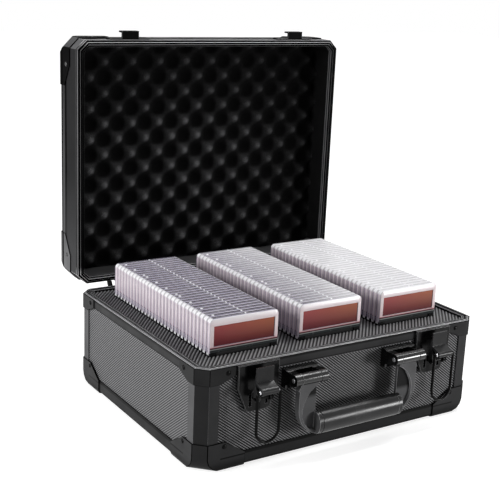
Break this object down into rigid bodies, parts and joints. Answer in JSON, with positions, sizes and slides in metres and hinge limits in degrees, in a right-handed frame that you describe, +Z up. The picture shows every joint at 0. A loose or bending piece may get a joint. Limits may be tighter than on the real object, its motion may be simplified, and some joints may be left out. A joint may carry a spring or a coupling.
{
  "type": "graded card storage case",
  "caption": "Framed hard case with an open lid, rows of card slabs in a foam insert, loop latches, a drop handle and egg-crate foam in the lid.",
  "frame": {"origin": "centre of the bounding box on the floor that the case stands on", "axes": "+X to the right along the front, +Y from the front to the back, +Z up"},
  "size_m": [0.3546, 0.3654, 0.4011],
  "materials": {
    "black_frame": "satin",
    "black_plastic": "satin",
    "gloss_black": "gloss",
    "black_steel": "satin",
    "black_wire": "gloss",
    "bright_steel": "gloss",
    "textured_panel": "satin",
    "dark_lining": "matte",
    "dark_foam": "matte",
    "clear_plastic": "gloss",
    "red_label": "satin"
  },
  "bodies": {
    "base": {"bottom_rail": "black_frame", "base_rim": "black_frame", "corner_post_front_left": "black_frame", "corner_post_front_right": "black_frame", "corner_post_back_right": "black_frame", "corner_post_back_left": "black_frame", "rim_bracket_front_left": "black_frame", "rim_bracket_front_right": "black_frame", "rim_bracket_back_right": "black_frame", "rim_bracket_back_left": "black_frame", "base_cap_front_left": "black_plastic", "base_cap_front_right": "black_plastic", "base_cap_back_right": "black_plastic", "base_cap_back_left": "black_plastic", "front_panel": "textured_panel", "back_panel": "textured_panel", "left_panel": "textured_panel", "right_panel": "textured_panel", "floor_panel": "textured_panel", "foam_insert": "dark_foam", "latch_plate_left": "black_steel", "latch_plate_right": "black_steel", "latch_pin_left": "bright_steel", "latch_pin_right": "bright_steel", "handle_mount_left": "gloss_black", "handle_mount_right": "gloss_black", "handle_pin_left": "bright_steel", "handle_pin_right": "bright_steel", "hinge_leaf_base_left": "black_steel", "hinge_leaf_base_right": "black_steel", "hinge_pin_left": "bright_steel", "hinge_pin_right": "bright_steel"},
    "lid": {"lid_frame": "black_frame", "lid_panel": "textured_panel", "lid_lining": "dark_lining", "lid_foam": "dark_foam", "lid_cap_front_left": "black_plastic", "lid_cap_front_right": "black_plastic", "lid_cap_back_right": "black_plastic", "lid_cap_back_left": "black_plastic", "lid_catch_left": "black_steel", "lid_catch_right": "black_steel", "hinge_leaf_lid_left": "black_steel", "hinge_leaf_lid_right": "black_steel"},
    "lever_left": {"latch_lever_left": "black_steel"},
    "lever_right": {"latch_lever_right": "black_steel"},
    "bail_left": {"latch_bail_left": "black_wire"},
    "bail_right": {"latch_bail_right": "black_wire"},
    "handle": {"handle_frame": "black_plastic", "handle_grip": "gloss_black"},
    "stack_left": {"slab_stack_left": "clear_plastic"},
    "stack_middle": {"slab_stack_middle": "clear_plastic"},
    "stack_right": {"slab_stack_right": "clear_plastic"},
    "first_slab_left": {"front_slab_left": "clear_plastic", "slab_label_left": "red_label"},
    "first_slab_middle": {"front_slab_middle": "clear_plastic", "slab_label_middle": "red_label"},
    "first_slab_right": {"front_slab_right": "clear_plastic", "slab_label_right": "red_label"}
  },
  "joints": [
    {"name": "lid_hinge", "type": "hinge", "parent": "base", "child": "lid", "pos_m": [0, 0.12982, 0.10835], "axis": [-1, 0, 0], "range_deg": [-90, 0], "deforming": ["lid_foam"]},
    {"name": "lever_hinge_left", "type": "hinge", "parent": "base", "child": "lever_left", "pos_m": [-0.112, -0.16617, 0.0753], "axis": [1, 0, 0], "range_deg": [0, 150]},
    {"name": "lever_hinge_right", "type": "hinge", "parent": "base", "child": "lever_right", "pos_m": [0.112, -0.16617, 0.0753], "axis": [1, 0, 0], "range_deg": [0, 150]},
    {"name": "bail_hinge_left", "type": "hinge", "parent": "lever_left", "child": "bail_left", "pos_m": [-0.112, -0.17517, 0.0853], "axis": [-1, 0, 0], "range_deg": [0, 300]},
    {"name": "bail_hinge_right", "type": "hinge", "parent": "lever_right", "child": "bail_right", "pos_m": [0.112, -0.17517, 0.0853], "axis": [-1, 0, 0], "range_deg": [0, 300]},
    {"name": "handle_hinge", "type": "hinge", "parent": "base", "child": "handle", "pos_m": [0, -0.17317, 0.0893], "axis": [-1, 0, 0], "range_deg": [0, 95]},
    {"name": "lift_stack_left", "type": "slide", "parent": "base", "child": "stack_left", "axis": [0, 0, 1], "range_m": [0, 0.11]},
    {"name": "lift_stack_middle", "type": "slide", "parent": "base", "child": "stack_middle", "axis": [0, 0, 1], "range_m": [0, 0.11]},
    {"name": "lift_stack_right", "type": "slide", "parent": "base", "child": "stack_right", "axis": [0, 0, 1], "range_m": [0, 0.11]},
    {"name": "lift_first_slab_left", "type": "slide", "parent": "base", "child": "first_slab_left", "axis": [0, 0, 1], "range_m": [0, 0.11]},
    {"name": "lift_first_slab_middle", "type": "slide", "parent": "base", "child": "first_slab_middle", "axis": [0, 0, 1], "range_m": [0, 0.11]},
    {"name": "lift_first_slab_right", "type": "slide", "parent": "base", "child": "first_slab_right", "axis": [0, 0, 1], "range_m": [0, 0.11]}
  ],
  "couplings": [
    {"joint": "bail_hinge_left", "follows": "lever_hinge_left", "ratio": 2},
    {"joint": "bail_hinge_right", "follows": "lever_hinge_right", "ratio": 2}
  ]
}
